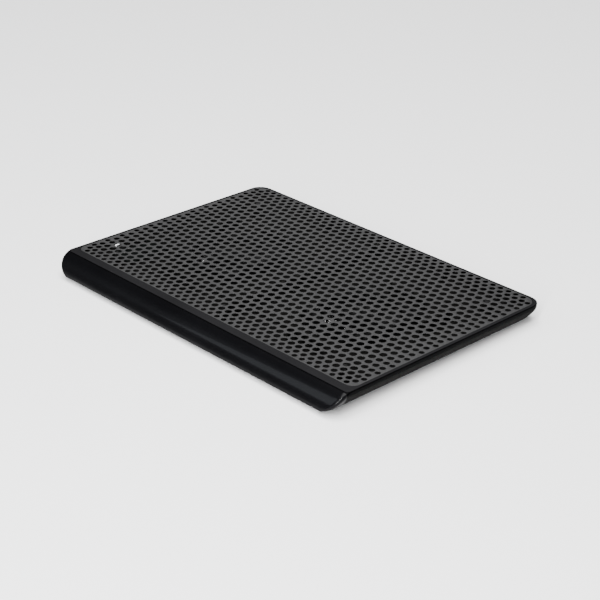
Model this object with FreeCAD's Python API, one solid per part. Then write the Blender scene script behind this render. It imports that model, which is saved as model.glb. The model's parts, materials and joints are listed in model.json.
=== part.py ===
import FreeCAD, Part
import math
import os

V = FreeCAD.Vector

# ---------------------------------------------------------------- driving dimensions (mm)
pitch = 9.1                 # hole pitch along a row of the perforated sheet
plan_half = 190.6           # half width of the pad at its top plane
y_far = 134.9               # far edge of the pad from its centre
y_seam = -120.4             # front face of the top frame; the glossy bar starts here
y_nose = -135.6             # foremost point of the bar
# how far a side leans in at each depth below the top plane: upright at first, then rolled under
side_in = [(0.0, 0.0), (2.5, 0.0), (4.5, 0.3), (6.5, 1.0), (8.5, 2.1), (10.5, 3.45), (12.5, 4.95), (14.0, 6.3),
           (15.5, 8.3), (17.0, 10.7), (18.8, 13.5), (21.0, 17.0), (24.0, 22.0)]
far_share = 0.8             # the far side leans in by this share of it
corner_near, corner_far = 5.0, 14.0
wedge_deg = 0.70            # tilt of the sheet over the base, bar side higher
base_z = 4.0                # underside of the bottom shell above the table
top_zc = 21.2               # height of the sheet's top plane at the centre
wall = 2.0                  # shell wall
floor_t = 2.0               # bottom shell floor
split_d = 8.0               # depth of the inner joint between frame and shell, below the top plane
split_gap = 0.4
skin_d = 3.8                # depth of the parting line on the outside
skin_gap = 0.3
sheet_t = 0.5               # perforated steel sheet
sheet_half = 187.0
sheet_y0, sheet_y1 = -111.1, 131.4
bezel_t = 1.8               # flange of the top frame round the sheet
bar_wall = 1.9
bar_depth = 18.4            # lower edge of the bar below the top plane

fan_x, fan_y = 88.0, 0.0    # fan centres at +-fan_x
fan_size, fan_h = 80.0, 10.0
fan_z = base_z + floor_t + 1.0
fan_bore_r = 38.3
fan_hole = 35.75
blade_tip_r = 37.3
blade_count = 9
shaft_r = 1.0
bearing_clear = 0.03

foot_r = 8.0
foot_xy = [(-158.0, -110.0), (158.0, -110.0), (-158.0, 108.0), (158.0, 108.0)]
stud_xy = [(-154.7, 97.7), (154.7, 97.7), (-154.7, -88.0), (154.7, -88.0), (0.0, 97.7), (0.0, -88.0)]
case_xy = [(-173.0, -100.0), (173.0, -100.0), (-173.0, 0.0), (173.0, 0.0), (-173.0, 92.0), (173.0, 92.0),
           (-78.0, 120.5), (78.0, 120.5)]
bar_screw_x = [-150.0, -52.0, 52.0, 150.0]

floor_z = base_z + floor_t

os.makedirs("parts", exist_ok=True)


# ---------------------------------------------------------------- helpers
def to_world(s):
    """sheet frame (z = 0 on the top plane) to the standing pose on the table"""
    s = s.copy()
    s.rotate(V(0, 0, 0), V(1, 0, 0), -wedge_deg)
    s.translate(V(0, 0, top_zc))
    return s


def rrect(x0, x1, y0, y1, rn, rf, z):
    """rounded rectangle wire; rn at the bar side corners, rf at the far corners"""
    c = math.sqrt(0.5)
    e = []

    def arc(cx, cy, r, a):
        p = [V(cx + r * math.cos(math.radians(a + d)), cy + r * math.sin(math.radians(a + d)), z) for d in (0, 45, 90)]
        return Part.Arc(p[0], p[1], p[2]).toShape()

    e.append(Part.makeLine(V(x0 + rn, y0, z), V(x1 - rn, y0, z)))
    e.append(arc(x1 - rn, y0 + rn, rn, 270))
    e.append(Part.makeLine(V(x1, y0 + rn, z), V(x1, y1 - rf, z)))
    e.append(arc(x1 - rf, y1 - rf, rf, 0))
    e.append(Part.makeLine(V(x1 - rf, y1, z), V(x0 + rf, y1, z)))
    e.append(arc(x0 + rf, y1 - rf, rf, 90))
    e.append(Part.makeLine(V(x0, y1 - rf, z), V(x0, y0 + rn, z)))
    e.append(arc(x0 + rn, y0 + rn, rn, 180))
    return Part.Wire(e)


def slab(x0, x1, y0, y1, rn, rf, z0, z1):
    return Part.Face(rrect(x0, x1, y0, y1, rn, rf, z0)).extrude(V(0, 0, z1 - z0))


def box(x0, x1, y0, y1, z0, z1):
    return Part.makeBox(x1 - x0, y1 - y0, z1 - z0, V(x0, y0, z0))


def cyl(x, y, z0, z1, r):
    return Part.makeCylinder(r, z1 - z0, V(x, y, z0))


def tube(x, y, z0, z1, ro, ri):
    return cyl(x, y, z0, z1, ro).cut(cyl(x, y, z0 - 1, z1 + 1, ri))


def fuse(shapes):
    s = shapes[0]
    return s.multiFuse(shapes[1:]) if len(shapes) > 1 else s


def one(s):
    """the single solid of a boolean result"""
    s = s.removeSplitter()
    assert len(s.Solids) == 1, "expected one solid, got %d" % len(s.Solids)
    return s.Solids[0]


def save(shape, name):
    assert shape.isValid(), name
    shape.exportStep("parts/%s.step" % name)
    b = shape.BoundBox
    print("%-22s solids %2d  vol %9.1f  x %.1f..%.1f y %.1f..%.1f z %.2f..%.2f" % (
        name, len(shape.Solids), shape.Volume, b.XMin, b.XMax, b.YMin, b.YMax, b.ZMin, b.ZMax))


# ---------------------------------------------------------------- outer form
# nose profile: one arc from the seam down to the lower edge of the bar
def circle3(a, b, c):
    ax, ay = a
    bx, by = b
    cx, cy = c
    d = 2 * (ax * (by - cy) + bx * (cy - ay) + cx * (ay - by))
    ux = ((ax * ax + ay * ay) * (by - cy) + (bx * bx + by * by) * (cy - ay) + (cx * cx + cy * cy) * (ay - by)) / d
    uy = ((ax * ax + ay * ay) * (cx - bx) + (bx * bx + by * by) * (ax - cx) + (cx * cx + cy * cy) * (bx - ax)) / d
    return ux, uy, math.hypot(ax - ux, ay - uy)


nose_c = circle3((-120.8, -0.6), (-130.8, -7.7), (y_nose, -17.0))


def y_near(h):
    h = max(h, 0.6)
    if h >= 17.0:
        return y_nose
    return nose_c[0] - math.sqrt(nose_c[2] ** 2 - (-h - nose_c[1]) ** 2)


def lean_in(h):
    for (h0, s0), (h1, s1) in zip(side_in, side_in[1:]):
        if h <= h1:
            return s0 + (s1 - s0) * (h - h0) / (h1 - h0)
    return side_in[-1][1]


def contour(h, inset=0.0, z=None):
    w = plan_half - lean_in(h) - inset
    return rrect(-w, w, y_near(h) + inset, y_far - far_share * lean_in(h) - inset,
                 max(corner_near - inset, 2.0), max(corner_far - inset, 4.0), -h if z is None else z)


def wall_at(h, t):
    """level thickness that keeps the wall t thick where the side slopes"""
    k = (lean_in(min(h + 0.75, 24.0)) - lean_in(max(h - 0.75, 0.0))) / (min(h + 0.75, 24.0) - max(h - 0.75, 0.0))
    return t * math.sqrt(1.0 + k * k)


levels = [0.5] + [h for h, s in side_in[1:]]
form_out = Part.makeLoft([contour(h) for h in levels], True, False)
form_in = Part.makeLoft([contour(h, wall_at(h, wall)) for h in levels], True, False)
form_core = Part.makeLoft([contour(h, wall_at(h, wall) + 0.5) for h in levels], True, False)
bar_in = Part.makeLoft([contour(h, bar_wall) for h in levels], True, False)

# ---------------------------------------------------------------- perforated sheet
row_y = [-11.3, -10.6, -9.8, -8.95, -8.0, -7.03, -6.03, -5.025, -4.02, -3.015, -2.01, -1.005, 0.0, 1.005, 2.01,
         3.015, 4.02, 5.025, 6.03, 7.035, 8.04, 9.045, 10.05, 11.08, 12.06, 12.96, 13.78, 14.5]
row_shift = 0.46
end_cols = {17.0: 17.05, 17.5: 17.5, 18.0: 18.0, 18.5: 18.45, 19.0: 18.95, 19.5: 19.35, 20.0: 19.8, 20.5: 20.1}


def hole_diameter(k):
    """k: half steps in from the edge of the field"""
    return pitch * {0: 0.57, 1: 0.62, 2: 0.64, 3: 0.69, 4: 0.715}.get(k, 0.755)


holes = []
n_rows = len(row_y)
for j, yy in enumerate(row_y):
    even = (j % 2 == 0)
    us = [i + 0.5 for i in range(21)] if even else [float(i) for i in range(21)]
    us = sorted(set([-u for u in us] + us))
    last = max(us)
    for u in us:
        if (j == 0 or j == n_rows - 1) and abs(u) == last:
            continue
        gx = math.copysign(end_cols.get(abs(u), abs(u)), u)
        k = int(min(round(2 * (20.5 - abs(u))), 2 * j, 2 * (n_rows - 1 - j)))
        holes.append((gx * pitch, (yy - row_shift) * pitch, hole_diameter(k) / 2))
print("holes", len(holes))

outer = rrect(-sheet_half, sheet_half, sheet_y0, sheet_y1, 9.0, 13.0, -sheet_t)
wires = [outer] + [Part.Wire([Part.makeCircle(r, V(x, y, -sheet_t), V(0, 0, -1))]) for x, y, r in holes]
sheet = Part.Face(wires).extrude(V(0, 0, sheet_t))
save(to_world(sheet), "perforated_sheet")

# ---------------------------------------------------------------- top frame
above = box(-300, 300, -300, 300, -skin_d, 5)
frame = form_out.common(above).common(box(-300, 300, y_seam, 300, -50, 5))
cap_outer = Part.makeLoft([contour(0.5), contour(0.5, 0.45, 0.0)], True, True).common(box(-300, 300, y_seam, 300, -5, 5))
frame = frame.fuse(cap_outer)
pocket = form_in.common(box(-300, 300, y_seam + wall, 300, -50, -bezel_t))
frame = frame.cut(pocket)
# front apron that the bar hooks into
frame = frame.fuse(form_out.common(box(-183, 183, y_seam, y_seam + wall, -split_d, -bezel_t)))
frame = frame.cut(slab(-185.9, 185.9, -109.8, 130.5, 8.0, 12.0, -5, 5))
frame = frame.cut(slab(-sheet_half - 0.15, sheet_half + 0.15, sheet_y0 - 0.15, sheet_y1 + 0.15, 9.15, 13.15, -sheet_t, 5))
frame = to_world(frame)
keep_form = to_world(form_out)
under_sheet = to_world(box(-400, 400, -400, 400, -60, -sheet_t))
bosses = []
for x, y in case_xy:
    b = cyl(x, y, 5, 30, 3.6)
    if abs(x) > 150:
        b = b.fuse(box(min(x, math.copysign(190, x)), max(x, math.copysign(190, x)), y - 1.2, y + 1.2, 5, 30))
    else:
        b = b.fuse(box(x - 1.2, x + 1.2, y, 134, 5, 30))
    bosses.append(b)
boss_zone = to_world(form_out.common(box(-400, 400, -400, 400, -skin_d, -bezel_t + 0.2)).fuse(
    form_core.common(box(-400, 400, y_seam + wall + 0.5, 400, -split_d, -skin_d + 0.5))))
frame = frame.fuse([b.common(boss_zone) for b in bosses])
for x, y in case_xy:
    frame = frame.cut(cyl(x, y, 5, 17.2, 1.25))
# slots for the bar's hooks
hook_x = [-170.0, -100.0, 0.0, 100.0, 170.0]
for x in hook_x:
    frame = frame.cut(to_world(box(x - 6.2, x + 6.2, y_seam - 1, y_seam + wall + 1, -6.4, -4.4)))
frame = one(frame)
save(frame, "top_frame")

# ---------------------------------------------------------------- glossy bar
bar_zone = box(-300, 300, -200, y_seam - 0.4, -bar_depth, 0)
bar = form_out.cut(bar_in).common(bar_zone)
# closed upper lip so the bar has no open slot at the seam
lip = form_out.common(box(-300, 300, y_seam - 2.2, y_seam - 0.4, -2.6, 0))
bar = bar.fuse(lip)
for x in hook_x:
    hook = box(x - 5.8, x + 5.8, y_seam - 6.0, y_seam + wall + 0.5, -6.2, -4.6)
    hook = hook.fuse(box(x - 5.8, x + 5.8, y_seam + wall + 0.05, y_seam + wall + 1.0, -6.2, -3.6))
    stem = box(x - 5.8, x + 5.8, y_seam - 14.0, y_seam - 4.0, -6.2, -4.6).common(form_out)
    bar = bar.fuse([hook.common(box(-300, 300, -200, 0, -20, -3.0)), stem])
for x in bar_screw_x:
    post = Part.makeCylinder(2.8, 16.0, V(x, y_seam - 0.4, -12.2), V(0, -1, 0)).common(form_out)
    post = post.cut(Part.makeCylinder(1.0, 5.6, V(x, y_seam + 1, -12.2), V(0, -1, 0)))
    bar = bar.fuse(post)
bar = one(bar)
bar = to_world(bar)
save(bar, "front_bar")

# ---------------------------------------------------------------- bottom shell
low = box(-300, 300, y_seam, 300, -60, -skin_d - skin_gap)
ring = form_out.cut(form_in).common(low)
front_wall = form_out.common(box(-300, 300, y_seam, y_seam + wall, -60, -split_d - split_gap))
tray = to_world(ring.fuse(front_wall))
room = box(-400, 400, -400, 400, base_z, 60)
tray = tray.common(room)
floor_all = keep_form.common(box(-400, 400, -400, 400, base_z, floor_z))
floor_all = floor_all.cut(to_world(box(-300, 300, -200, y_seam, -60, 5)))
tray = tray.fuse(floor_all)
adds = []
inner_zone = keep_form.common(box(-400, 400, -400, 400, base_z, 60)).common(
    to_world(box(-300, 300, y_seam, 300, -60, -split_d)))
for x, y in case_xy:
    b = cyl(x, y, base_z, 30, 3.9)
    if abs(x) > 150:
        b = b.fuse(box(min(x, math.copysign(188, x)), max(x, math.copysign(188, x)), y - 1.2, y + 1.2, base_z, 30))
    else:
        b = b.fuse(box(x - 1.2, x + 1.2, y, 134, base_z, 30))
    adds.append(b.common(inner_zone))
stud_z = 15.0
for x, y in stud_xy:
    adds.append(cyl(x, y, base_z, stud_z, 4.5))
    adds.append(box(x - 7.5, x + 7.5, y - 0.75, y + 0.75, floor_z - 0.5, 11.0))
    adds.append(box(x - 0.75, x + 0.75, y - 7.5, y + 7.5, floor_z - 0.5, 11.0))
for sx in (-1, 1):
    for ax in (-1, 1):
        for ay in (-1, 1):
            adds.append(cyl(sx * fan_x + ax * fan_hole, fan_y + ay * fan_hole, base_z, fan_z, 3.6))
# ribs that carry the sheet along the middle, and short ones outboard of the fans
ribs = [box(-1.0, 1.0, -82.0, 91.5, floor_z - 0.5, 40), box(-1.0, 1.0, 104.0, 118.0, floor_z - 0.5, 40)]
for sx in (-1, 1):
    for yy in (-70.0, 62.0):
        ribs.append(box(sx * 88 - 22, sx * 88 + 22, yy - 0.9, yy + 0.9, floor_z - 0.5, 40))
    ribs.append(box(sx * 143 - 0.9, sx * 143 + 0.9, 20, 60, floor_z - 0.5, 40))
adds += [r.common(under_sheet) for r in ribs]
# posts that carry the power board
board_x0, board_x1, board_y0, board_y1 = -179.0, -150.0, -76.0, -26.0
board_z = floor_z + 1.4
board_t = 1.2
board_screw = [(-154.5, -71.0), (-154.5, -31.0)]
for x, y in board_screw:
    adds.append(cyl(x, y, base_z, board_z, 2.6))
for x, y in ((-172.0, -50.0), (-172.0, -30.0)):
    adds.append(cyl(x, y, base_z, board_z, 1.5))
# clips for the leads of the right-hand fan
lead_z = floor_z + 0.75
clip_x = [-118.0, -88.0, -58.0, -22.0, 22.0]
for x in clip_x:
    adds.append(box(x - 2.0, x + 2.0, -57.1, -56.1, floor_z - 0.5, floor_z + 3.4))
    adds.append(box(x - 2.0, x + 2.0, -52.9, -51.9, floor_z - 0.5, floor_z + 3.4))
tray = tray.fuse(adds)

cuts = []
# lead notch through the middle rib
cuts.append(box(-3.0, 3.0, -57.5, -51.5, floor_z, floor_z + 4.5))
# case screw counterbores and clearance holes
case_head_z = base_z + 1.6
for x, y in case_xy:
    cuts.append(cyl(x, y, base_z - 1, case_head_z, 3.0))
    cuts.append(cyl(x, y, base_z - 1, 20, 1.45))
stud_head_z = 9.0
for x, y in stud_xy:
    cuts.append(cyl(x, y, base_z - 1, stud_head_z, 3.2))
    cuts.append(cyl(x, y, base_z - 1, 20, 1.7))
for sx in (-1, 1):
    for ax in (-1, 1):
        for ay in (-1, 1):
            px, py = sx * fan_x + ax * fan_hole, fan_y + ay * fan_hole
            cuts.append(cyl(px, py, base_z - 1, base_z + 1.4, 3.4))
            cuts.append(cyl(px, py, base_z - 1, fan_z + 1, 2.2))
for x, y in board_screw:
    cuts.append(cyl(x, y, floor_z - 1.0, 20, 1.0))
for x, y in foot_xy:
    cuts.append(cyl(x, y, base_z - 1, base_z + 1.0, foot_r + 0.1))
# intake grille under each fan: concentric slots broken by spokes
for sx in (-1, 1):
    slots = []
    for ri, ro in ((9.0, 12.6), (14.6, 18.2), (20.2, 23.8), (25.8, 29.4), (31.4, 35.0)):
        slots.append(tube(sx * fan_x, fan_y, base_z - 1, floor_z + 1, ro, ri))
    spokes = []
    for a in range(8):
        s = box(-0.9, 0.9, -40, 40, base_z - 2, floor_z + 2) if a < 4 else None
        if s is not None:
            s.rotate(V(0, 0, 0), V(0, 0, 1), 22.5 + a * 45.0)
            s.translate(V(sx * fan_x, fan_y, 0))
            spokes.append(s)
    for s in slots:
        cuts.append(s.cut(spokes))
# mouths for the inlet and the switch in the left-hand side
usb_y, sw_y = -62.0, -40.0
usb_z = board_z + board_t
cuts.append(box(-195, -183.9, usb_y - 4.3, usb_y + 4.3, usb_z - 0.35, usb_z + 4.25))
cuts.append(box(-195, -174.0, sw_y - 2.9, sw_y + 2.9, usb_z + 0.75, usb_z + 3.35))
# room on the wall's inner face for the inlet and the switch body
cuts.append(box(-184.4, -174, usb_y - 4.1, usb_y + 4.1, usb_z - 0.1, usb_z + 4.1))
cuts.append(box(-183.2, -174, sw_y - 6.2, sw_y + 6.2, usb_z - 0.1, usb_z + 4.2))
# bar screws pass through the front wall
for x in bar_screw_x:
    cuts.append(to_world(Part.makeCylinder(1.25, 6.0, V(x, y_seam - 1, -12.2), V(0, 1, 0))))
tray = tray.cut(cuts)
tray = one(tray)
save(tray, "bottom_shell")

# ---------------------------------------------------------------- studs under the sheet and all screws
studs = []
screws = []
for x, y in stud_xy:
    s = cyl(x, y, stud_z, 40, 2.6).common(under_sheet)
    s = s.cut(cyl(x, y, stud_z - 1, stud_z + 4.3, 1.5))
    studs.append(s.Solids[0])


def screw(x, y, z_head, head_r, head_h, shank_r, length):
    """pan head below, shank upwards, with a cross recess"""
    h = cyl(x, y, z_head - head_h, z_head, head_r)
    h = h.makeFillet(min(head_h, head_r) * 0.35, [e for e in h.Edges if abs(e.BoundBox.ZMax - (z_head - head_h)) < 1e-6 and e.BoundBox.XLength > head_r])
    s = h.fuse(cyl(x, y, z_head - 0.1, z_head + length, shank_r))
    d = head_h * 0.55
    c1 = box(x - head_r * 0.55, x + head_r * 0.55, y - head_r * 0.11, y + head_r * 0.11, z_head - head_h - 0.1, z_head - head_h + d)
    c2 = box(x - head_r * 0.11, x + head_r * 0.11, y - head_r * 0.55, y + head_r * 0.55, z_head - head_h - 0.1, z_head - head_h + d)
    s = s.cut([c1, c2]).removeSplitter()
    return s.Solids[0]


save(Part.makeCompound(studs), "sheet_studs")
save(Part.makeCompound([screw(x, y, stud_head_z, 2.75, 1.9, 1.5, 9.8) for x, y in stud_xy]), "stud_screws")
save(Part.makeCompound([screw(x, y, case_head_z, 2.5, 1.5, 1.25, 11.2) for x, y in case_xy]), "case_screws")
save(Part.makeCompound([screw(sx * fan_x + ax * fan_hole, fan_y + ay * fan_hole, base_z + 1.4, 3.1, 1.3, 2.15, 9.0)
                        for sx in (-1, 1) for ax in (-1, 1) for ay in (-1, 1)]), "fan_screws")


def flip_screw(x, y, z_seat, head_r, head_h, shank_r, length):
    s = screw(0, 0, 0, head_r, head_h, shank_r, length)
    s.rotate(V(0, 0, 0), V(1, 0, 0), 180)
    s.translate(V(x, y, z_seat))
    return s


save(Part.makeCompound([flip_screw(x, y, board_z + board_t, 1.9, 1.2, 1.0, 3.4) for x, y in board_screw]), "board_screws")
bs = []
for x in bar_screw_x:
    s = screw(0, 0, 0, 1.9, 1.3, 1.0, 6.4)
    s.rotate(V(0, 0, 0), V(1, 0, 0), 90)
    s.translate(V(x, y_seam + wall, -12.2))
    bs.append(to_world(s))
save(Part.makeCompound(bs), "bar_screws")

# ---------------------------------------------------------------- rubber feet
for name, (x, y) in zip(("foot_front_left", "foot_front_right", "foot_rear_left", "foot_rear_right"), foot_xy):
    f = cyl(x, y, 0, base_z + 1.0, foot_r)
    f = f.makeFillet(1.2, [e for e in f.Edges if abs(e.BoundBox.ZMax) < 1e-6 and e.BoundBox.XLength > 1])
    save(f.Solids[0], name)


# ---------------------------------------------------------------- fans
def blade(ang):
    secs = []
    for r, p_deg in ((12.0, 44.0), (20.0, 37.0), (29.0, 30.0), (40.0, 24.0)):
        p = math.radians(p_deg)
        t = 1.15
        c = (6.3 - t * math.cos(p)) / math.sin(p)
        q = []
        for u, w in ((-0.5, -0.5), (0.5, -0.5), (0.5, 0.5), (-0.5, 0.5)):
            a, b = u * c, w * t
            q.append((a * math.cos(p) - b * math.sin(p), a * math.sin(p) + b * math.cos(p)))
        lead = 0.10 * (r - 15.0)
        pts = [V(r, tt - lead, 4.5 + zz) for tt, zz in q]
        secs.append(Part.makePolygon(pts + [pts[0]]))
    b = Part.makeLoft(secs, True, False)
    b.rotate(V(0, 0, 0), V(0, 0, 1), ang)
    return b


def fan(side):
    sx = -1 if side == "left" else 1
    put = V(sx * fan_x, fan_y, fan_z)
    out = {}
    half = fan_size / 2
    # frame: square housing, struts and hub plate on the outlet (upper) side
    body = Part.Face(rrect(-half, half, -half, half, 4.0, 4.0, 0)).extrude(V(0, 0, fan_h))
    body = body.cut(cyl(0, 0, -1, fan_h + 1, fan_bore_r))
    for ax in (-1, 1):
        for ay in (-1, 1):
            # lightening pocket behind each corner flange, then the fixing hole
            pocket = cyl(ax * fan_hole, ay * fan_hole, 3.2, fan_h - 3.2, 9.0).cut(cyl(0, 0, 0, 11, fan_bore_r + 1.7))
            pocket = pocket.cut(cyl(ax * fan_hole, ay * fan_hole, 0, 11, 3.3))
            body = body.cut(pocket)
            body = body.cut(cyl(ax * fan_hole, ay * fan_hole, -1, fan_h + 1, 2.15))
    hub = cyl(0, 0, 8.6, fan_h, 15.0)
    body = body.fuse(hub)
    struts = []
    for a in (0, 90, 180):
        s = box(10, fan_bore_r + 0.8, -1.6, 1.6, 8.6, fan_h)
        s.rotate(V(0, 0, 0), V(0, 0, 1), a + 45)
        struts.append(s)
    wide = box(10, fan_bore_r + 0.8, -2.6, 2.6, 8.2, fan_h)
    wide.rotate(V(0, 0, 0), V(0, 0, 1), 270 - 0.0)
    struts.append(wide)
    body = body.fuse(struts)
    body = body.fuse(tube(0, 0, 2.8, 8.8, 3.2, 2.3))
    # channel for the leads on the wide strut, and the slot down to the board
    chan = box(-1.5, 1.5, -42, -7.5, 9.0, fan_h + 1)
    body = body.cut(chan)
    body = body.cut(box(-1.5, 1.5, -13.0, -5.0, 8.0, fan_h + 1))
    out["fan_frame"] = one(body)
    out["bearing_sleeve"] = tube(0, 0, 3.0, 7.4, 2.3, shaft_r + bearing_clear)
    # stator: four poles on the bearing tube
    core = tube(0, 0, 4.2, 6.4, 5.4, 3.2)
    poles = []
    coils = []
    for a in range(4):
        arm = box(4.6, 9.8, -1.3, 1.3, 4.2, 6.4)
        shoe = tube(0, 0, 4.2, 6.4, 11.3, 9.5).common(box(6, 12, -6.6, 6.6, 4, 7))
        coil = box(5.9, 8.9, -2.9, 2.9, 3.2, 7.0)
        coil = coil.makeFillet(0.8, [e for e in coil.Edges if e.BoundBox.XLength > 1 and e.BoundBox.YLength < 0.1 and e.BoundBox.ZLength < 0.1])
        coil = coil.cut(box(5, 10, -1.3, 1.3, 4.2, 6.4))
        for s in (arm, shoe, coil):
            s.rotate(V(0, 0, 0), V(0, 0, 1), a * 90 + 45)
        poles += [arm, shoe]
        coils.append(coil.Solids[0])
    out["stator_core"] = one(core.fuse(poles))
    out["stator_coils"] = Part.makeCompound(coils)
    out["fan_board"] = tube(0, 0, 7.2, 8.0, 11.0, 3.2)
    out["fan_label"] = cyl(0, 0, fan_h, fan_h + 0.12, 13.0)
    # rotor
    cup = cyl(0, 0, 0.6, 8.2, 15.0).cut(cyl(0, 0, 1.8, 9, 13.8))
    cup = cup.makeFillet(0.8, [e for e in cup.Edges if abs(e.BoundBox.ZMax - 0.6) < 1e-6 and e.BoundBox.XLength > 29])
    cup = cup.fuse(cyl(0, 0, 1.7, 2.4, 2.6))
    ring = tube(0, 0, 0, 10, blade_tip_r, 14.4)
    first = blade(22.0).common(ring).Solids[0]
    blades = []
    for a in range(blade_count):
        b = first.copy()
        b.rotate(V(0, 0, 0), V(0, 0, 1), a * 360.0 / blade_count)
        blades.append(b)
    imp = cup.fuse(blades)
    imp = imp.cut(cyl(0, 0, 1.0, 3, shaft_r))
    out["impeller"] = one(imp)
    yoke = tube(0, 0, 1.8, 8.0, 13.8, 13.3).fuse(tube(0, 0, 1.8, 2.3, 13.8, 2.6))
    out["rotor_yoke"] = one(yoke)
    out["ring_magnet"] = tube(0, 0, 2.6, 7.8, 13.3, 11.8)
    shaft = cyl(0, 0, 1.0, 8.4, shaft_r)
    shaft = shaft.cut(tube(0, 0, 7.72, 8.02, 2.0, 0.8))
    out["fan_shaft"] = one(shaft)
    out["shaft_clip"] = tube(0, 0, 7.74, 8.0, 1.9, 0.8).cut(box(0.5, 3, -0.35, 0.35, 7, 9)).Solids[0]
    for n, s in out.items():
        s = s.copy()
        s.translate(put)
        save(s, "%s_%s" % (n, side))


fan("left")
fan("right")

# ---------------------------------------------------------------- power board, inlet, switch
board = box(board_x0, board_x1, board_y0, board_y1, board_z, board_z + board_t)
for x, y in board_screw:
    board = board.cut(cyl(x, y, board_z - 1, board_z + 3, 1.2))
save(one(board), "power_board")

# mini-USB inlet: a folded steel shell round a plastic tongue, mouth towards -X
bt = usb_z
shell_x0, shell_x1 = -184.2, -175.2


def usb_profile(off, x0, x1):
    """outline of the mini-USB shell: wide top, waisted lower corners"""
    w, h = 3.85 - off, 3.9
    z0, z1 = bt + off, bt + h - off
    pts = [(-w + 0.75, z0), (w - 0.75, z0), (w - 0.75, z0 + 1.1 - off * 0.3), (w, z0 + 1.9 - off * 0.3), (w, z1), (-w, z1),
           (-w, z0 + 1.9 - off * 0.3), (-w + 0.75, z0 + 1.1 - off * 0.3)]
    poly = Part.makePolygon([V(x0, usb_y + a, b) for a, b in pts] + [V(x0, usb_y + pts[0][0], pts[0][1])])
    return Part.Face(poly).extrude(V(x1 - x0, 0, 0))


usb = usb_profile(0.0, shell_x0, shell_x1).cut(usb_profile(0.35, shell_x0 - 1, shell_x1 - 0.4))
save(one(usb), "usb_inlet_shell")
tongue = usb_profile(0.35, shell_x1 - 2.4, shell_x1 - 0.4)
tongue = tongue.fuse(box(shell_x0 + 1.2, shell_x1 - 1.0, usb_y - 2.1, usb_y + 2.1, bt + 1.55, bt + 2.35))
save(one(tongue), "usb_inlet_tongue")

# slide switch: housing with a window towards -X, knob travels along Y
sw_x0, sw_x1 = -182.4, -176.6
sw = box(sw_x0, sw_x1, sw_y - 5.4, sw_y + 5.4, bt, bt + 4.0)
sw = sw.cut(box(sw_x0 + 0.8, sw_x1 - 0.8, sw_y - 4.3, sw_y + 4.3, bt + 0.7, bt + 3.4))
sw = sw.cut(box(sw_x0 - 1, sw_x0 + 2, sw_y - 2.6, sw_y + 2.6, bt + 1.05, bt + 3.05))
save(one(sw), "switch_housing")
travel = 2.0
k0 = sw_y - travel / 2          # rest: knob at the near end
knob = box(-187.8, sw_x0 + 1.6, k0 - 1.2, k0 + 1.2, bt + 1.4, bt + 2.7)
for i in range(3):
    knob = knob.cut(box(-189, -187.55, k0 - 0.75 + i * 0.65 - 0.12, k0 - 0.75 + i * 0.65 + 0.12, bt, bt + 4))
knob = knob.fuse(box(sw_x0 + 1.2, sw_x1 - 1.3, k0 - 2.6, k0 + 2.6, bt + 1.05, bt + 3.05))
save(one(knob), "switch_knob")

# headers on the board and plugs of the leads
head_y = {"left": -38.0, "right": -54.5}
for side in ("left", "right"):
    hy = head_y[side]
    h = box(-158.2, -152.6, hy - 3.0, hy + 3.0, bt, bt + 3.6)
    h = h.cut(box(-157.4, -151, hy - 2.3, hy + 2.3, bt + 0.6, bt + 3.0))
    pins = [box(-157.6, -154.2, hy + d - 0.25, hy + d + 0.25, bt + 1.55, bt + 2.05) for d in (-1.0, 1.0)]
    save(one(h.fuse(pins)), "header_%s" % side)
    p = box(-156.9, -149.6, hy - 2.1, hy + 2.1, bt + 0.75, bt + 2.85)
    p = p.cut([box(-158, -154.0, hy + d - 0.3, hy + d + 0.3, bt + 1.5, bt + 2.1) for d in (-1.0, 1.0)])
    save(one(p), "lead_plug_%s" % side)


# ---------------------------------------------------------------- fan leads
lead_r = 0.45


def route(points, scale=0.42):
    """straight runs joined by tangent arcs, each as large as its runs allow"""
    pts = [V(*p) for p in points]
    edges = []
    start = pts[0]
    radii = []
    for i in range(1, len(pts) - 1):
        a, b, c = pts[i - 1], pts[i], pts[i + 1]
        u = (a - b)
        w = (c - b)
        lu, lw = u.Length, w.Length
        u.normalize()
        w.normalize()
        ang = math.pi - math.acos(max(-1, min(1, u.dot(w))))
        tl = scale * min(lu, lw)
        r = tl / math.tan(ang / 2)
        radii.append(round(r, 1))
        p1 = b + u * tl
        p2 = b + w * tl
        bis = (u + w)
        bis.normalize()
        mid = b + bis * (r / math.cos(ang / 2) - r)
        edges.append(Part.LineSegment(start, p1).toShape())
        edges.append(Part.Arc(p1, mid, p2).toShape())
        start = p2
    edges.append(Part.LineSegment(start, pts[-1]).toShape())
    return Part.Wire(edges), radii


def lead(points, name):
    w, radii = route(points)
    d = V(*points[1]) - V(*points[0])
    prof = Part.Wire([Part.makeCircle(lead_r, V(*points[0]), d)])
    s = w.makePipeShell([prof], True, False)
    ratio = s.Volume / (math.pi * lead_r ** 2 * w.Length)
    print(name, "radii", radii, "length %.1f" % w.Length, "volume ratio %.4f" % ratio)
    save(s.Solids[0] if s.Solids else Part.Solid(s.Shells[0]), name)


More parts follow.
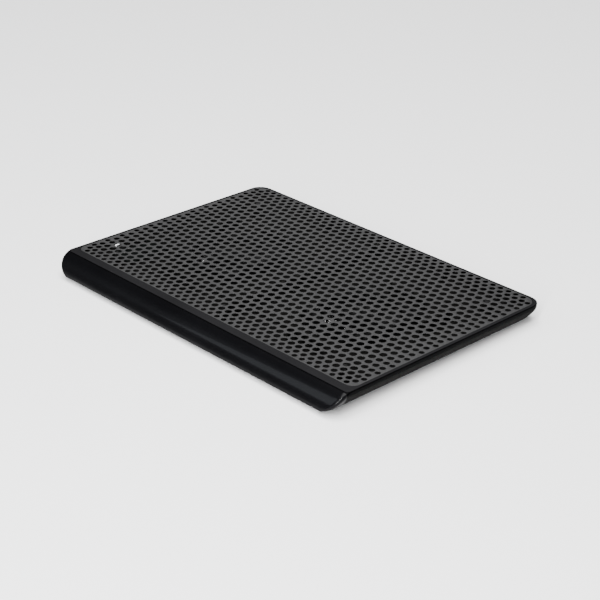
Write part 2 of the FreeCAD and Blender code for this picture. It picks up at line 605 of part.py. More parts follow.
top_lead = fan_z + 9.52
low_lead = fan_z + 8.5
for side, sx in (("left", -1), ("right", 1)):
    for colour, off in (("feed", -0.62), ("return", 0.62)):
        x = sx * fan_x + off
        hy = head_y[side] + (1.0 if colour == "feed" else -1.0)
        zc = bt + 1.8
        if side == "left":
            pts = [(x, -5.6, low_lead), (x, -8.8, low_lead), (x, -12.6, top_lead), (x, -43.5, top_lead),
                   (x - 1.0, -49.5 - off, top_lead - 1.6), (x - 9.0, -52.0 - off, zc + 2.6),
                   (x - 22, -49.5 - off, zc + 0.9), (-128 + off, (head_y[side] - 47.0) / 2 - 1.7 * off, zc + 0.35), (-141.0, hy, zc), (-149.6, hy, zc)]
        else:
            dy = 0.75 if colour == "feed" else -0.75
            yl = -54.5 + dy
            pts = [(x, -5.6, low_lead), (x, -8.8, low_lead), (x, -12.6, top_lead), (x, -43.5, top_lead),
                   (x - 1.5, -49.8 + dy, fan_z + 6.2), (x - 13.0, -54.2 + dy, lead_z + 1.2), (40.0, yl, lead_z)]
            pts += [(12.0, yl - 0.2, lead_z), (-18.0, yl + 0.15, lead_z), (-50.0, yl - 0.15, lead_z),
                    (-82.0, yl + 0.15, lead_z), (-112.0, yl - 0.1, lead_z + 0.02), (-130.0, (yl + hy) / 2 + 0.1, lead_z + 1.2),
                    (-141.5, hy, zc), (-149.6, hy, zc)]
        lead(pts, "lead_%s_%s" % (colour, side))
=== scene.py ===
import bpy
import bmesh
import json
import math
import numpy as np
from mathutils import Vector, Matrix, Quaternion
from mathutils.geometry import delaunay_2d_cdt


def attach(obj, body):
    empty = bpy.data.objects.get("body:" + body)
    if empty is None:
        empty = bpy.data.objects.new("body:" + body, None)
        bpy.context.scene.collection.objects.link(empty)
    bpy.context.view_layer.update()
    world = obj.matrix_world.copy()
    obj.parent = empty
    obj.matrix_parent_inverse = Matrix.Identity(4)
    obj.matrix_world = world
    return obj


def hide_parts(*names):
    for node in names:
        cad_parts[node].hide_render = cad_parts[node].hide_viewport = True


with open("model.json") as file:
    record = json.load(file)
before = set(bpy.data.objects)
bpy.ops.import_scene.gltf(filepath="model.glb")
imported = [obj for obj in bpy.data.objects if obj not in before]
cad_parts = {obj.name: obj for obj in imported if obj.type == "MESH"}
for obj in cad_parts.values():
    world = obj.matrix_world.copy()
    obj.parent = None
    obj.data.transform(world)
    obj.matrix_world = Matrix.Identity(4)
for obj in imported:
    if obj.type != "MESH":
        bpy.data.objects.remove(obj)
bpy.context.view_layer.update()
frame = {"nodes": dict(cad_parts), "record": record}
nodes = frame["nodes"]

# ------------------------------------------------------------------ the pad's own frame (mm)
TAU = math.radians(0.70)
ZC = 21.2
ct, st = math.cos(TAU), math.sin(TAU)


def W(x, y, z):
    """sheet frame in mm -> row frame in metres"""
    return (x * 1e-3, (y * ct + z * st) * 1e-3, (-y * st + z * ct + ZC) * 1e-3)


Y_SEAM = -120.4
Y_FAR = 134.9
Y_NOSE = -135.6
HALF = 190.6
SIDE_IN = [(0.0, 0.0), (2.5, 0.0), (4.5, 0.3), (6.5, 1.0), (8.5, 2.1), (10.5, 3.45), (12.5, 4.95), (14.0, 6.3),
           (15.5, 8.3), (17.0, 10.7), (18.8, 13.5), (21.0, 17.0), (24.0, 22.0)]
R_NEAR, R_FAR = 5.0, 14.0


def circle3(a, b, c):
    (ax, ay), (bx, by), (cx, cy) = a, b, c
    d = 2 * (ax * (by - cy) + bx * (cy - ay) + cx * (ay - by))
    ux = ((ax * ax + ay * ay) * (by - cy) + (bx * bx + by * by) * (cy - ay) + (cx * cx + cy * cy) * (ay - by)) / d
    uy = ((ax * ax + ay * ay) * (cx - bx) + (bx * bx + by * by) * (ax - cx) + (cx * cx + cy * cy) * (bx - ax)) / d
    return ux, uy, math.hypot(ax - ux, ay - uy)


NC = circle3((-120.8, -0.6), (-130.8, -7.7), (Y_NOSE, -17.0))


def y_near(h):
    h = max(h, 0.6)
    if h >= 17.0:
        return Y_NOSE
    return NC[0] - math.sqrt(NC[2] ** 2 - (-h - NC[1]) ** 2)


def lean_in(h):
    # smooth curve through the depths in SIDE_IN
    if h <= SIDE_IN[1][0]:
        return 0.0
    xs = [a for a, b in SIDE_IN]
    ys = [b for a, b in SIDE_IN]
    k = max(i for i in range(len(xs) - 1) if xs[i] <= h)

    def slope(i):
        if i <= 1:
            return 0.0
        if i >= len(xs) - 1:
            return (ys[-1] - ys[-2]) / (xs[-1] - xs[-2])
        return (ys[i + 1] - ys[i - 1]) / (xs[i + 1] - xs[i - 1])
    d = xs[k + 1] - xs[k]
    t = (h - xs[k]) / d
    return (ys[k] * (2 * t ** 3 - 3 * t * t + 1) + slope(k) * d * (t ** 3 - 2 * t * t + t)
            + ys[k + 1] * (3 * t * t - 2 * t ** 3) + slope(k + 1) * d * (t ** 3 - t * t))


def half_w(h):
    return HALF - lean_in(h)


def far_y(h):
    return Y_FAR - 0.8 * lean_in(h)


# ------------------------------------------------------------------ mesh helpers
def new_object(name, verts, faces, body="root", smooth=True):
    me = bpy.data.meshes.new(name)
    me.from_pydata(verts, [], faces)
    me.validate()
    me.update()
    ob = bpy.data.objects.new(name, me)
    bpy.context.scene.collection.objects.link(ob)
    if smooth:
        me.polygons.foreach_set("use_smooth", [True] * len(me.polygons))
    bm = bmesh.new()
    bm.from_mesh(me)
    bmesh.ops.recalc_face_normals(bm, faces=bm.faces)
    bm.to_mesh(me)
    bm.free()
    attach(ob, body)
    return ob


def sharpen(ob, deg=32.0):
    """marks edges sharper than deg, so flat faces stay flat and curves stay smooth"""
    me = ob.data
    bm = bmesh.new()
    bm.from_mesh(me)
    lim = math.radians(deg)
    for e in bm.edges:
        if len(e.link_faces) == 2:
            e.smooth = e.calc_face_angle(0.0) < lim
    bm.to_mesh(me)
    bm.free()


def loops_to_mesh(loops, closed_u=True, closed_v=False):
    """loops: list of rings, each a list of (x, y, z) in metres with the same count"""
    n = len(loops[0])
    verts = [p for ring in loops for p in ring]
    faces = []
    m = len(loops)
    for j in range(m if closed_v else m - 1):
        a, b = j * n, ((j + 1) % m) * n
        for i in range(n if closed_u else n - 1):
            i2 = (i + 1) % n
            faces.append((a + i, a + i2, b + i2, b + i))
    return verts, faces


# ------------------------------------------------------------------ materials
def mat(name):
    m = bpy.data.materials.new(name)
    m.use_nodes = True
    nt = m.node_tree
    for n in list(nt.nodes):
        nt.nodes.remove(n)
    out = nt.nodes.new("ShaderNodeOutputMaterial")
    bs = nt.nodes.new("ShaderNodeBsdfPrincipled")
    nt.links.new(bs.outputs[0], out.inputs[0])
    return m, nt, bs


def node(nt, kind, **kw):
    n = nt.nodes.new(kind)
    for k, v in kw.items():
        if k in n.inputs:
            n.inputs[k].default_value = v
        else:
            setattr(n, k, v)
    return n


def link(nt, a, ao, b, bi):
    nt.links.new(a.outputs[ao], b.inputs[bi])


def coords(nt):
    return node(nt, "ShaderNodeTexCoord")


def noise(nt, tc, scale, detail=4.0, rough=0.55, out="Object"):
    n = node(nt, "ShaderNodeTexNoise")
    n.inputs["Scale"].default_value = scale
    n.inputs["Detail"].default_value = detail
    n.inputs["Roughness"].default_value = rough
    link(nt, tc, out, n, "Vector")
    return n


def ramp(nt, src, so, stops):
    r = node(nt, "ShaderNodeValToRGB")
    cr = r.color_ramp
    while len(cr.elements) < len(stops):
        cr.elements.new(0.5)
    for e, (p, c) in zip(cr.elements, stops):
        e.position = p
        e.color = (*c, 1.0) if len(c) == 3 else c
    nt.links.new(src.outputs[so], r.inputs[0])
    return r


def grey(v, tint=(0, 0, 0)):
    return (v + tint[0], v + tint[1], v + tint[2])


def maprange(nt, src, so, a, b, c, d):
    n = node(nt, "ShaderNodeMapRange")
    n.inputs["From Min"].default_value = a
    n.inputs["From Max"].default_value = b
    n.inputs["To Min"].default_value = c
    n.inputs["To Max"].default_value = d
    nt.links.new(src.outputs[so], n.inputs["Value"])
    return n


def bump(nt, src, so, bs, strength, distance):
    b = node(nt, "ShaderNodeBump")
    b.inputs["Strength"].default_value = strength
    b.inputs["Distance"].default_value = distance
    nt.links.new(src.outputs[so], b.inputs["Height"])
    nt.links.new(b.outputs[0], bs.inputs["Normal"])
    return b


def moulded(name, base, rough0, rough1, grain=900.0, bump_s=0.25, bump_d=0.00006, var=0.15, spec=0.5, coat=0.0, tint=(0, 0, 0)):
    """moulded plastic: fine grain, a little cloudiness in colour and in gloss"""
    m, nt, bs = mat(name)
    tc = coords(nt)
    big = noise(nt, tc, 18.0, 5.0, 0.6)
    fine = noise(nt, tc, grain, 2.0, 0.5)
    r = ramp(nt, big, "Fac", [(0.30, grey(base * (1 - var), tint)), (0.72, grey(base * (1 + var), tint))])
    link(nt, r, "Color", bs, "Base Color")
    mr = maprange(nt, big, "Fac", 0.3, 0.7, rough0, rough1)
    link(nt, mr, "Result", bs, "Roughness")
    bs.inputs["Specular IOR Level"].default_value = spec
    if coat:
        bs.inputs["Coat Weight"].default_value = coat
        bs.inputs["Coat Roughness"].default_value = 0.05
    if bump_s:
        bump(nt, fine, "Fac", bs, bump_s, bump_d)
    return m


def metal(name, base, rough0, rough1, tint=(0, 0, 0), stretch=(1, 1, 1), scale=700.0, bump_s=0.15):
    m, nt, bs = mat(name)
    tc = coords(nt)
    mp = node(nt, "ShaderNodeMapping")
    mp.inputs["Scale"].default_value = stretch
    link(nt, tc, "Object", mp, "Vector")
    fine = node(nt, "ShaderNodeTexNoise")
    fine.inputs["Scale"].default_value = scale
    fine.inputs["Detail"].default_value = 3.0
    link(nt, mp, "Vector", fine, "Vector")
    big = noise(nt, tc, 60.0, 3.0)
    r = ramp(nt, big, "Fac", [(0.3, grey(base * 0.85, tint)), (0.7, grey(base * 1.1, tint))])
    link(nt, r, "Color", bs, "Base Color")
    bs.inputs["Metallic"].default_value = 1.0
    mr = maprange(nt, fine, "Fac", 0.3, 0.7, rough0, rough1)
    link(nt, mr, "Result", bs, "Roughness")
    bump(nt, fine, "Fac", bs, bump_s, 0.00003)
    return m


# painted steel of the perforated sheet: satin powder coat with fine orange peel and faint rubbing, and painted shade
# on the walls of the holes
def sheet_material():
    m, nt, bs = mat("sheet_powder_coat")
    tc = coords(nt)
    big = noise(nt, tc, 9.0, 5.0, 0.6)
    peel = noise(nt, tc, 1500.0, 2.0, 0.5)
    speck = noise(nt, tc, 420.0, 3.0, 0.6)
    r = ramp(nt, big, "Fac", [(0.28, (0.0175, 0.0173, 0.0179)), (0.74, (0.0228, 0.0225, 0.0231))])
    mx = node(nt, "ShaderNodeMix", data_type="RGBA")
    mx.blend_type = "MIX"
    sp = ramp(nt, speck, "Fac", [(0.45, (0, 0, 0)), (0.75, (0.35, 0.35, 0.35))])
    nt.links.new(sp.outputs["Color"], mx.inputs[0])
    nt.links.new(r.outputs["Color"], mx.inputs[6])
    mx.inputs[7].default_value = (0.040, 0.0396, 0.0403, 1.0)
    # painted shade: the punched walls of the holes are coloured near-black, darker than the flat webs, standing in
    # for the shade inside the holes
    geo = node(nt, "ShaderNodeNewGeometry")
    sep = node(nt, "ShaderNodeSeparateXYZ")
    nt.links.new(geo.outputs["Normal"], sep.inputs[0])
    flat = maprange(nt, sep, "Z", 0.35, 0.97, 0.0, 1.0)
    painted_shade_wall_mix = node(nt, "ShaderNodeMix", data_type="RGBA")
    nt.links.new(flat.outputs["Result"], painted_shade_wall_mix.inputs[0])
    # near-black painted shade colour for the hole walls
    painted_shade_wall_mix.inputs[6].default_value = (0.004, 0.004, 0.004, 1.0)
    nt.links.new(mx.outputs[2], painted_shade_wall_mix.inputs[7])
    nt.links.new(painted_shade_wall_mix.outputs[2], bs.inputs["Base Color"])
    mr = maprange(nt, speck, "Fac", 0.3, 0.7, 0.40, 0.50)
    link(nt, mr, "Result", bs, "Roughness")
    bs.inputs["Metallic"].default_value = 0.0
    bs.inputs["Specular IOR Level"].default_value = 0.25
    bump(nt, peel, "Fac", bs, 0.25, 0.00005)
    return m


def bar_material():
    """high-gloss black: a coat over a dark base, with hairline rubbing marks that only dull the gloss"""
    m, nt, bs = mat("bar_gloss_black")
    tc = coords(nt)
    mp = node(nt, "ShaderNodeMapping")
    mp.inputs["Scale"].default_value = (0.35, 6.0, 6.0)
    link(nt, tc, "Object", mp, "Vector")
    hair = node(nt, "ShaderNodeTexNoise")
    hair.inputs["Scale"].default_value = 260.0
    hair.inputs["Detail"].default_value = 4.0
    link(nt, mp, "Vector", hair, "Vector")
    big = noise(nt, tc, 14.0, 4.0)
    r = ramp(nt, big, "Fac", [(0.3, (0.0012, 0.0012, 0.0015)), (0.7, (0.0018, 0.0018, 0.0022))])
    link(nt, r, "Color", bs, "Base Color")
    mr = maprange(nt, hair, "Fac", 0.45, 0.75, 0.30, 0.36)
    link(nt, mr, "Result", bs, "Roughness")
    bs.inputs["Specular IOR Level"].default_value = 0.05
    bs.inputs["Coat Weight"].default_value = 0.06
    bs.inputs["Coat Roughness"].default_value = 0.05
    peel = noise(nt, tc, 120.0, 1.0)
    bump(nt, peel, "Fac", bs, 0.05, 0.00004)
    return m


def frame_material():
    """one moulding: satin, lightly grained top face, polished skirt"""
    m, nt, bs = mat("frame_satin_and_gloss")
    tc = coords(nt)
    big = noise(nt, tc, 16.0, 5.0, 0.6)
    fine = noise(nt, tc, 1300.0, 2.0)
    geo = node(nt, "ShaderNodeNewGeometry")
    sep = node(nt, "ShaderNodeSeparateXYZ")
    nt.links.new(geo.outputs["Normal"], sep.inputs[0])
    up = maprange(nt, sep, "Z", 0.80, 0.97, 0.0, 1.0)
    c_top = ramp(nt, big, "Fac", [(0.3, (0.0078, 0.0077, 0.0083)), (0.7, (0.0104, 0.0102, 0.0109))])
    mx = node(nt, "ShaderNodeMix", data_type="RGBA")
    nt.links.new(up.outputs["Result"], mx.inputs[0])
    mx.inputs[6].default_value = (0.0008, 0.0008, 0.0009, 1.0)
    bs.inputs["Specular IOR Level"].default_value = 0.01
    nt.links.new(c_top.outputs["Color"], mx.inputs[7])
    nt.links.new(mx.outputs[2], bs.inputs["Base Color"])
    rg = maprange(nt, up, "Result", 0.0, 1.0, 0.16, 0.46)
    link(nt, rg, "Result", bs, "Roughness")
    b = node(nt, "ShaderNodeBump")
    b.inputs["Distance"].default_value = 0.00005
    mm = node(nt, "ShaderNodeMath", operation="MULTIPLY")
    mm.inputs[1].default_value = 0.3
    nt.links.new(up.outputs["Result"], mm.inputs[0])
    nt.links.new(mm.outputs[0], b.inputs["Strength"])
    nt.links.new(fine.outputs["Fac"], b.inputs["Height"])
    nt.links.new(b.outputs[0], bs.inputs["Normal"])
    return m


M = {}
M["sheet_paint"] = sheet_material()
M["bar_gloss"] = bar_material()
M["frame_plastic"] = frame_material()
# the shell and the black parts under the perforated sheet get base colours darker than their plastics have: their own
# black, with painted shade for the space under the sheet added in
M["shell_plastic"] = moulded("shell_moulded_texture", 0.0050, 0.60, 0.70, grain=1100.0, bump_s=0.45, bump_d=0.00008, var=0.10, spec=0.02, tint=(0.0003, 0.00015, -0.0002))
M["rubber"] = moulded("foot_rubber", 0.014, 0.72, 0.85, grain=600.0, bump_s=0.5, bump_d=0.0001, var=0.2, spec=0.3)
M["fan_plastic"] = moulded("fan_housing_plastic", 0.0025, 0.50, 0.64, grain=900.0, bump_s=0.25, var=0.2, spec=0.08)
M["impeller_plastic"] = moulded("impeller_plastic", 0.0028, 0.44, 0.56, grain=700.0, bump_s=0.12, var=0.15, spec=0.08)
M["clip_plastic"] = moulded("nylon_black", 0.004, 0.45, 0.55, bump_s=0.1, var=0.05, spec=0.08)
M["connector_plastic"] = moulded("connector_nylon", 0.003, 0.5, 0.6, bump_s=0.1, var=0.05, spec=0.06)
M["tongue_plastic"] = moulded("inlet_tongue_plastic", 0.004, 0.4, 0.5, bump_s=0.1, spec=0.08)
M["switch_plastic"] = moulded("switch_housing_plastic", 0.004, 0.45, 0.55, bump_s=0.15, spec=0.06)
M["knob_plastic"] = moulded("switch_knob_plastic", 0.008, 0.4, 0.5, bump_s=0.3, spec=0.3)
M["label_film"] = moulded("label_black_film", 0.0026, 0.55, 0.65, grain=300.0, bump_s=0.08, var=0.04, spec=0.1)
M["magnet_ferrite"] = moulded("bonded_ferrite", 0.035, 0.6, 0.75, grain=800.0, bump_s=0.4, tint=(0.003, 0.0, -0.002))
M["wire_grey"] = moulded("wire_grey_pvc", 0.005, 0.5, 0.6, bump_s=0.05, spec=0.06)
M["wire_black"] = moulded("wire_black_pvc", 0.003, 0.5, 0.6, bump_s=0.05, spec=0.06)
M["board_mask"] = moulded("board_solder_mask", 0.0028, 0.45, 0.55, grain=500.0, bump_s=0.1, var=0.2, spec=0.06, tint=(0.0, 0.001, 0.0005))
M["screw_steel"] = metal("screw_black_zinc", 0.012, 0.45, 0.58, scale=900.0)
M["stud_steel"] = moulded("stud_powder_coat", 0.005, 0.45, 0.55, grain=1500.0, bump_s=0.2, spec=0.08)
M["bearing_bronze"] = metal("sintered_bronze", 0.40, 0.45, 0.6, tint=(0.14, 0.02, -0.14))
M["shaft_steel"] = metal("ground_steel", 0.70, 0.12, 0.2)
M["yoke_steel"] = metal("drawn_blackened_steel", 0.10, 0.3, 0.42)
M["stator_steel"] = metal("lamination_steel", 0.10, 0.4, 0.55, stretch=(1, 1, 30))
M["coil_copper"] = metal("enamelled_copper", 0.10, 0.4, 0.52, tint=(0.10, -0.01, -0.06), stretch=(1, 1, 12))
M["inlet_metal"] = metal("nickel_plate", 0.16, 0.32, 0.45)

slot_of = {s["node"]: s["material_slot"] for s in frame["record"]["subparts"]}
for n, o in nodes.items():
    o.data.materials.clear()
    o.data.materials.append(M.get(slot_of.get(n), M["shell_plastic"]))
    for p in o.data.polygons:
        p.material_index = 0

# ------------------------------------------------------------------ perforated sheet
P = 9.1
ROW_Y = [-11.3, -10.6, -9.8, -8.95, -8.0, -7.03, -6.03, -5.025, -4.02, -3.015, -2.01, -1.005, 0.0, 1.005, 2.01,
         3.015, 4.02, 5.025, 6.03, 7.035, 8.04, 9.045, 10.05, 11.08, 12.06, 12.96, 13.78, 14.5]
END = {17.0: 17.05, 17.5: 17.5, 18.0: 18.0, 18.5: 18.45, 19.0: 18.95, 19.5: 19.35, 20.0: 19.8, 20.5: 20.1}
DIA = {0: 0.57, 1: 0.62, 2: 0.64, 3: 0.69, 4: 0.715}
holes = []
for j, yy in enumerate(ROW_Y):
    us = [i + 0.5 for i in range(21)] if j % 2 == 0 else [float(i) for i in range(21)]
    us = sorted(set([-u for u in us] + us))
    for u in us:
        if (j == 0 or j == len(ROW_Y) - 1) and abs(u) == max(us):
            continue
        gx = math.copysign(END.get(abs(u), abs(u)), u)
        k = int(min(round(2 * (20.5 - abs(u))), 2 * j, 2 * (len(ROW_Y) - 1 - j)))
        holes.append((gx * P, (yy - 0.46) * P, P * DIA.get(k, 0.755) / 2))


def rrect_pts(x1, y0, y1, rn, rf, na=10):
    pts = []
    for cx, cy, r, a0 in ((x1 - rn, y0 + rn, rn, 270), (x1 - rf, y1 - rf, rf, 0), (-x1 + rf, y1 - rf, rf, 90), (-x1 + rn, y0 + rn, rn, 180)):
        for i in range(na + 1):
            a = math.radians(a0 + 90 * i / na)
            pts.append((cx + r * math.cos(a), cy + r * math.sin(a)))
    return pts


def build_sheet():
    nh = 28
    b = 0.12                       # rolled edge of each punched hole
    co, edges, faces_in = [], [], []
    outline = rrect_pts(187.0 - b, -111.1 + b, 131.4 - b, 9.0 - b, 13.0 - b)
    ring_id = []

    def add_loop(pts):
        s = len(co)
        co.extend(pts)
        ids = list(range(s, s + len(pts)))
        edges.extend([(ids[i], ids[(i + 1) % len(ids)]) for i in range(len(ids))])
        return ids

    out_ids = add_loop(outline)
    for x, y, r in holes:
        rr = r + b
        ring_id.append(add_loop([(x + rr * math.cos(2 * math.pi * (i + 0.5) / nh), y + rr * math.sin(2 * math.pi * (i + 0.5) / nh)) for i in range(nh)]))
    v2, e2, f2, ov, oe, of = delaunay_2d_cdt([Vector(c) for c in co], edges, [], 0, 1e-6)
    v2 = [(v.x, v.y) for v in v2]
    # the triangulation fills the holes too, so those triangles are dropped
    hx = np.array([h[0] for h in holes])
    hy = np.array([h[1] for h in holes])
    hr = np.array([h[2] + b for h in holes])
    tri = []
    x1, y0, y1 = 187.0 - b, -111.1 + b, 131.4 - b
    for f in f2:
        cx = sum(v2[i][0] for i in f) / len(f)
        cy = sum(v2[i][1] for i in f) / len(f)
        if ((hx - cx) ** 2 + (hy - cy) ** 2 < (hr * 0.985) ** 2).any():
            continue
        if abs(cx) > x1 or cy < y0 or cy > y1:
            continue
        skip = False
        for sx in (-1, 1):
            for (ccx, ccy, r, up) in ((x1 - 9.0 + b, y0 + 9.0 - b, 9.0 - b, -1), (x1 - 13.0 + b, y1 - 13.0 + b, 13.0 - b, 1)):
                if sx * cx > ccx and up * (cy - ccy) > 0 and (sx * cx - ccx) ** 2 + (cy - ccy) ** 2 > r * r * 1.002:
                    skip = True
        if not skip:
            tri.append(tuple(f))
    # map input ids to output ids
    back = {}
    for oi, src in enumerate(ov):
        for s in src:
            back[s] = oi
    verts = [W(x, y, 0.0) for x, y in v2]
    nv = len(verts)
    verts += [W(x, y, -0.5) for x, y in v2]
    faces = list(tri) + [tuple(nv + i for i in reversed(f)) for f in tri]

    def wall(ids, cx, cy, r_edge, inward, pts=None):
        """rounded edge down the side of a hole, or round the outline"""
        ids = [back[i] for i in ids]
        rings = []
        for dz, off in ((-0.03, 0.6), (-0.12, 1.0), (-0.38, 1.0), (-0.47, 0.6)):
            s = len(verts)
            for n_, i in enumerate(ids):
                x, y = v2[i]
                if pts is None:
                    d = math.hypot(x - cx, y - cy)
                    q = (d - b * off) / d
                    verts.append(W(cx + (x - cx) * q, cy + (y - cy) * q, dz))
                else:
                    nx, ny = pts[n_]
                    verts.append(W(x + nx * b * off, y + ny * b * off, dz))
            rings.append(list(range(s, s + len(ids))))
        rings = [ids] + rings + [[nv + i for i in ids]]
        for a, c in zip(rings[:-1], rings[1:]):
            for i in range(len(ids)):
                k = (i + 1) % len(ids)
                faces.append((a[i], a[k], c[k], c[i]))

    for (x, y, r), ids in zip(holes, ring_id):
        wall(ids, x, y, r, True)
    nrm = []
    m = len(outline)
    for i in range(m):
        ax, ay = outline[i - 1]
        bx, by = outline[(i + 1) % m]
        tx, ty = bx - ax, by - ay
        l = math.hypot(tx, ty)
        nrm.append((ty / l, -tx / l))
    wall(out_ids, 0, 0, 0, False, nrm)
    ob = new_object("perforated_sheet_fine", verts, faces)
    sharpen(ob, 50.0)
    ob.data.materials.append(M["sheet_paint"])
    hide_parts("perforated_sheet")
    return ob


sheet_ob = build_sheet()

# ------------------------------------------------------------------ top frame
NA = 12          # samples on a near corner
NF = 18          # samples on a far corner


def side_x(h, y, inset=0.0):
    """right-hand edge of the outer form at depth h and a given y near the front corner"""
    w = half_w(h) - inset
    r = R_NEAR - inset
    yc = y_near(h) + R_NEAR
    if y >= yc:
        return w
    d = max(0.0, r * r - (y - yc) ** 2)
    return w - r + math.sqrt(d)


def frame_outer(h, inset, z, front=None):
    """closed ring of the frame's outer face at depth h; symmetric, counter-clockwise from the middle of the front edge"""
    yf = (Y_SEAM if front is None else front) + inset
    xr = side_x(h, yf, inset)
    pts = []
    for i in range(16):
        pts.append((xr * i / 16.0, yf))
    for i in range(NA + 1):
        t = i / NA
        y = yf + (-112.0 - yf) * (t ** 1.6)
        pts.append((side_x(h, y, inset), y))
    rf = R_FAR - inset
    w = half_w(h) - inset
    y1 = far_y(h) - inset
    for i in range(1, 12):
        t = i / 12.0
        y = -112.0 + (y1 - rf + 112.0) * t
        pts.append((w, y))
    for i in range(NF + 1):
        a = math.radians(90.0 * i / NF)
        pts.append((w - rf + rf * math.cos(a), y1 - rf + rf * math.sin(a)))
    for i in range(1, 16):
        pts.append(((w - rf) * (1 - i / 16.0), y1))
    full = pts + [(0.0, y1)] + [(-x, y) for x, y in reversed(pts[1:])]
    return [W(x, y, z) for x, y in full]


def frame_inner(x1, y0, y1, rn, rf, z):
    pts = []
    for i in range(16):
        pts.append(((x1 - rn) * i / 16.0, y0))
    for i in range(NA + 1):
        a = math.radians(-90 + 90.0 * i / NA)
        pts.append((x1 - rn + rn * math.cos(a), y0 + rn + rn * math.sin(a)))
    for i in range(1, 12):
        t = i / 12.0
        pts.append((x1, y0 + rn + (y1 - rf - y0 - rn) * t))
    for i in range(NF + 1):
        a = math.radians(90.0 * i / NF)
        pts.append((x1 - rf + rf * math.cos(a), y1 - rf + rf * math.sin(a)))
    for i in range(1, 16):
        pts.append(((x1 - rf) * (1 - i / 16.0), y1))
    full = pts + [(0.0, y1)] + [(-x, y) for x, y in reversed(pts[1:])]
    return [W(x, y, z) for x, y in full]


def build_frame():
    sx, s0, s1 = 187.15, -111.25, 131.55
    L = []
    L.append(frame_inner(sx, s0, s1, 9.15, 13.15, -0.5))
    L.append(frame_inner(sx, s0, s1, 9.15, 13.15, -0.40))
    L.append(frame_inner(sx, s0, s1, 9.15, 13.15, -0.30))
    L.append(frame_inner(sx + 0.06, s0 - 0.06, s1 + 0.06, 9.2, 13.2, -0.12))
    L.append(frame_inner(sx + 0.2, s0 - 0.2, s1 + 0.2, 9.35, 13.35, -0.02))
    L.append(frame_inner(sx + 0.4, s0 - 0.4, s1 + 0.4, 9.5, 13.5, 0.0))
    L.append(frame_inner(sx + 0.55, s0 - 0.55, s1 + 0.55, 9.6, 13.6, 0.0))
    for inset, z in ((1.5, 0.0), (1.3, 0.0), (0.95, -0.03), (0.60, -0.14), (0.28, -0.38), (0.10, -0.65), (0.0, -1.0)):
        L.append(frame_outer(max(0.6, -z), inset, z))
    for h in (1.3, 1.8, 2.3, 2.8, 3.2, 3.5):
        L.append(frame_outer(h, 0.0, -h))
    L.append(frame_outer(3.62, 0.05, -3.62))
    L.append(frame_outer(3.76, 0.18, -3.76))
    L.append(frame_outer(3.8, 0.36, -3.8))
    L.append(frame_outer(3.8, 1.8, -3.8))
    L.append(frame_outer(3.6, 2.0, -3.6))
    L.append(frame_outer(2.2, 2.0, -2.2))
    L.append(frame_outer(1.8, 2.2, -1.8))
    L.append(frame_inner(185.9, -109.8, 130.5, 8.0, 12.0, -1.8))
    L.append(frame_inner(185.9, -109.8, 130.5, 8.0, 12.0, -0.5))
    verts, faces = loops_to_mesh(L, True, True)
    ob = new_object("top_frame_fine", verts, faces)
    sharpen(ob, 38.0)
    ob.data.materials.append(M["frame_plastic"])
    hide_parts("top_frame")
    return ob


frame_ob = build_frame()


# ------------------------------------------------------------------ glossy bar
BAR_Y = Y_SEAM - 0.4


def bar_row(h, inset, z=None, back=None):
    """open row from the left end of the bar round its front to the right end"""
    yb = (BAR_Y if back is None else back)
    z = -h if z is None else z
    w = half_w(h) - inset
    r = max(R_NEAR - inset, 2.0)
    yn = y_near(h) + inset
    yc = yn + r
    pts = []
    # right-hand half from the middle: straight front, corner, short side
    for i in range(40):
        pts.append(((w - r) * i / 40.0, yn))
    if yb >= yc:
        for i in range(19):
            a = math.radians(-90 + 90.0 * i / 18)
            pts.append((w - r + r * math.cos(a), yc + r * math.sin(a)))
        for i in range(1, 6):
            pts.append((w, yc + (yb - yc) * i / 5.0))
    else:
        s = max(-1.0, min(1.0, (yb - yc) / r))
        a1 = math.degrees(math.asin(s))
        for i in range(24):
            a = math.radians(-90 + (a1 + 90) * i / 23.0)
            pts.append((w - r + r * math.cos(a), yc + r * math.sin(a)))
    full = [(-x, y) for x, y in reversed(pts[1:])] + pts
    return [W(x, y, z) for x, y in full]


def build_bar():
    rows = []
    # over the top, down the nose, rounded lower edge, and back up inside
    rows.append(bar_row(2.6, 1.9 + 0.0, -2.6))
    rows = []
    n = len(bar_row(5.0, 0.0))
    hs = [0.62, 0.66, 0.75, 0.9, 1.1, 1.4, 1.8, 2.3, 3.0, 3.8, 4.7, 5.7, 6.8, 8.0, 9.2, 10.4, 11.6, 12.8, 13.9, 14.8, 15.6, 16.4, 17.2, 17.8]
    outer = [bar_row(h, 0.0) for h in hs]
    outer += [bar_row(18.15, 0.02), bar_row(18.28, 0.07), bar_row(18.36, 0.16), bar_row(18.4, 0.30)]
    inner = [bar_row(18.4, 1.6), bar_row(18.36, 1.74), bar_row(18.28, 1.83), bar_row(18.0, 1.9), bar_row(16.4, 1.9)]
    inner += [bar_row(h, 1.9) for h in (14.0, 11.6, 9.2, 6.8, 4.7, 3.4)]
    rows = outer + inner
    verts, faces = loops_to_mesh(rows, False, False)
    m = len(rows)
    # close the two ends and the strip along the seam
    for i in (0, n - 1):
        ring = [j * n + i for j in range(m)]
        k_out = len(outer)
        # quads between outer and inner rows along the end
        o = [j * n + i for j in range(k_out)]
        inn = [j * n + i for j in range(m - 1, k_out - 1, -1)]
        a, b = 0, 0
        while a < len(o) - 1 or b < len(inn) - 1:
            za = verts[o[min(a + 1, len(o) - 1)]][2]
            zb = verts[inn[min(b + 1, len(inn) - 1)]][2]
            if b >= len(inn) - 1 or (a < len(o) - 1 and za >= zb):
                f = (o[a], o[a + 1], inn[b])
                a += 1
            else:
                f = (o[a], inn[b + 1], inn[b])
                b += 1
            faces.append(f if i == 0 else tuple(reversed(f)))
    first = [i for i in range(n)]
    last = [(m - 1) * n + i for i in range(n)]
    for i in range(n - 1):
        faces.append((first[i], last[i], last[i + 1], first[i + 1]))
    ob = new_object("front_bar_fine", verts, faces)
    sharpen(ob, 40.0)
    ob.data.materials.append(M["bar_gloss"])
    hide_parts("front_bar")
    return ob


bar_ob = build_bar()

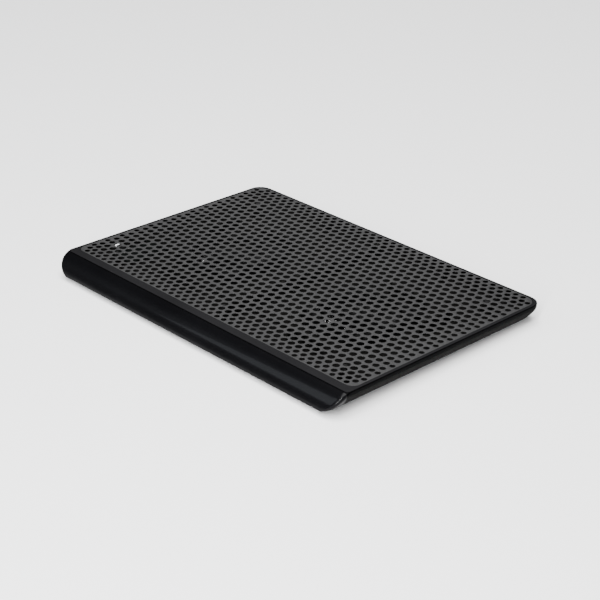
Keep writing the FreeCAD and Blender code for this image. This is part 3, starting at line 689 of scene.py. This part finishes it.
# ------------------------------------------------------------------ stage: floor, lights, camera
scene = bpy.context.scene
fm, fnt, fbs = mat("stage_floor")
fbs.inputs["Base Color"].default_value = (0.94, 0.94, 0.94, 1)
fbs.inputs["Roughness"].default_value = 0.9
fbs.inputs["Specular IOR Level"].default_value = 0.0
me = bpy.data.meshes.new("floor")
S = 60.0
me.from_pydata([(-S, -S, 0), (S, -S, 0), (S, S, 0), (-S, S, 0)], [], [(0, 1, 2, 3)])
floor = bpy.data.objects.new("floor", me)
scene.collection.objects.link(floor)
floor.data.materials.append(fm)

world = bpy.data.worlds.new("studio")
scene.world = world
world.use_nodes = True
wn = world.node_tree
bg = wn.nodes["Background"]
bg.inputs[0].default_value = (1, 1, 1, 1)
bg.inputs[1].default_value = 0.12


def area(name, loc, target, sx, sy, power, colour=(1, 1, 1), spread=180):
    l = bpy.data.lights.new(name, "AREA")
    l.shape = "RECTANGLE"
    l.size, l.size_y = sx, sy
    l.energy = power
    l.color = colour
    l.spread = math.radians(spread)
    o = bpy.data.objects.new(name, l)
    o.location = loc
    o.rotation_mode = "QUATERNION"
    o.rotation_quaternion = (Vector(target) - Vector(loc)).to_track_quat("-Z", "Y")
    scene.collection.objects.link(o)
    return o


def from_dir(az, el, dist, centre=(0.0, 0.0, 0.0)):
    a, e = math.radians(az), math.radians(el)
    return (centre[0] + dist * math.cos(e) * math.cos(a), centre[1] + dist * math.cos(e) * math.sin(a), centre[2] + dist * math.sin(e))


area("key_top", (0.05, 0.05, 3.6), (0.0, 0.0, 0.0), 2.6, 2.6, 260)
# tall narrow box near the right-hand front corner
area("strip_corner", (0.733, -1.196, 0.95), (0.188, -0.127, 0.4), 0.055, 1.7, 75)
# low soft box to the front left, seen in the bar's rounded face
area("soft_front", from_dir(-127, 36, 2.6), (0.05, -0.1, 0.0), 0.9, 1.3, 22, (0.88, 0.93, 1.0))
# low soft box to the right
area("soft_right", from_dir(-8, 20, 2.6), (0.19, 0.0, 0.0), 1.6, 0.7, 1.5)
# soft box behind, mirrored in the sheet
area("soft_back", from_dir(136, 27, 2.8), (0.0, 0.0, 0.0), 1.2, 0.8, 5)

# camera: fitted in the sheet's own frame, then carried into the row frame
CAM_C = (979.56170778, -949.16041495, 641.82941522)
RVEC = (1.89099206, 0.816813996, -0.486743297)
ang = math.sqrt(sum(c * c for c in RVEC))
Rcw = Matrix.Rotation(ang, 3, Vector(RVEC).normalized())        # sheet frame -> camera (y down, z forward)
Rt = Matrix.Rotation(-TAU, 3, "X")
Rwc = Rt @ Rcw.transposed() @ Matrix(((1, 0, 0), (0, -1, 0), (0, 0, -1)))
cam = bpy.data.cameras.new("camera")
cam.sensor_width = 36.0
cam.lens = 1605.87038 / 600.0 * 36.0
cam.clip_start, cam.clip_end = 0.05, 200.0
camo = bpy.data.objects.new("camera", cam)
camo.rotation_mode = "QUATERNION"
F_PX, DU, DV = 1605.87038, 0.6, 0.35
Rfix = (Matrix.Rotation(-DU / F_PX, 3, "Y") @ Matrix.Rotation(-DV / F_PX, 3, "X")).transposed()
camo.rotation_quaternion = (Rwc @ Rfix).to_quaternion()
camo.location = W(*CAM_C)
scene.collection.objects.link(camo)
scene.camera = camo
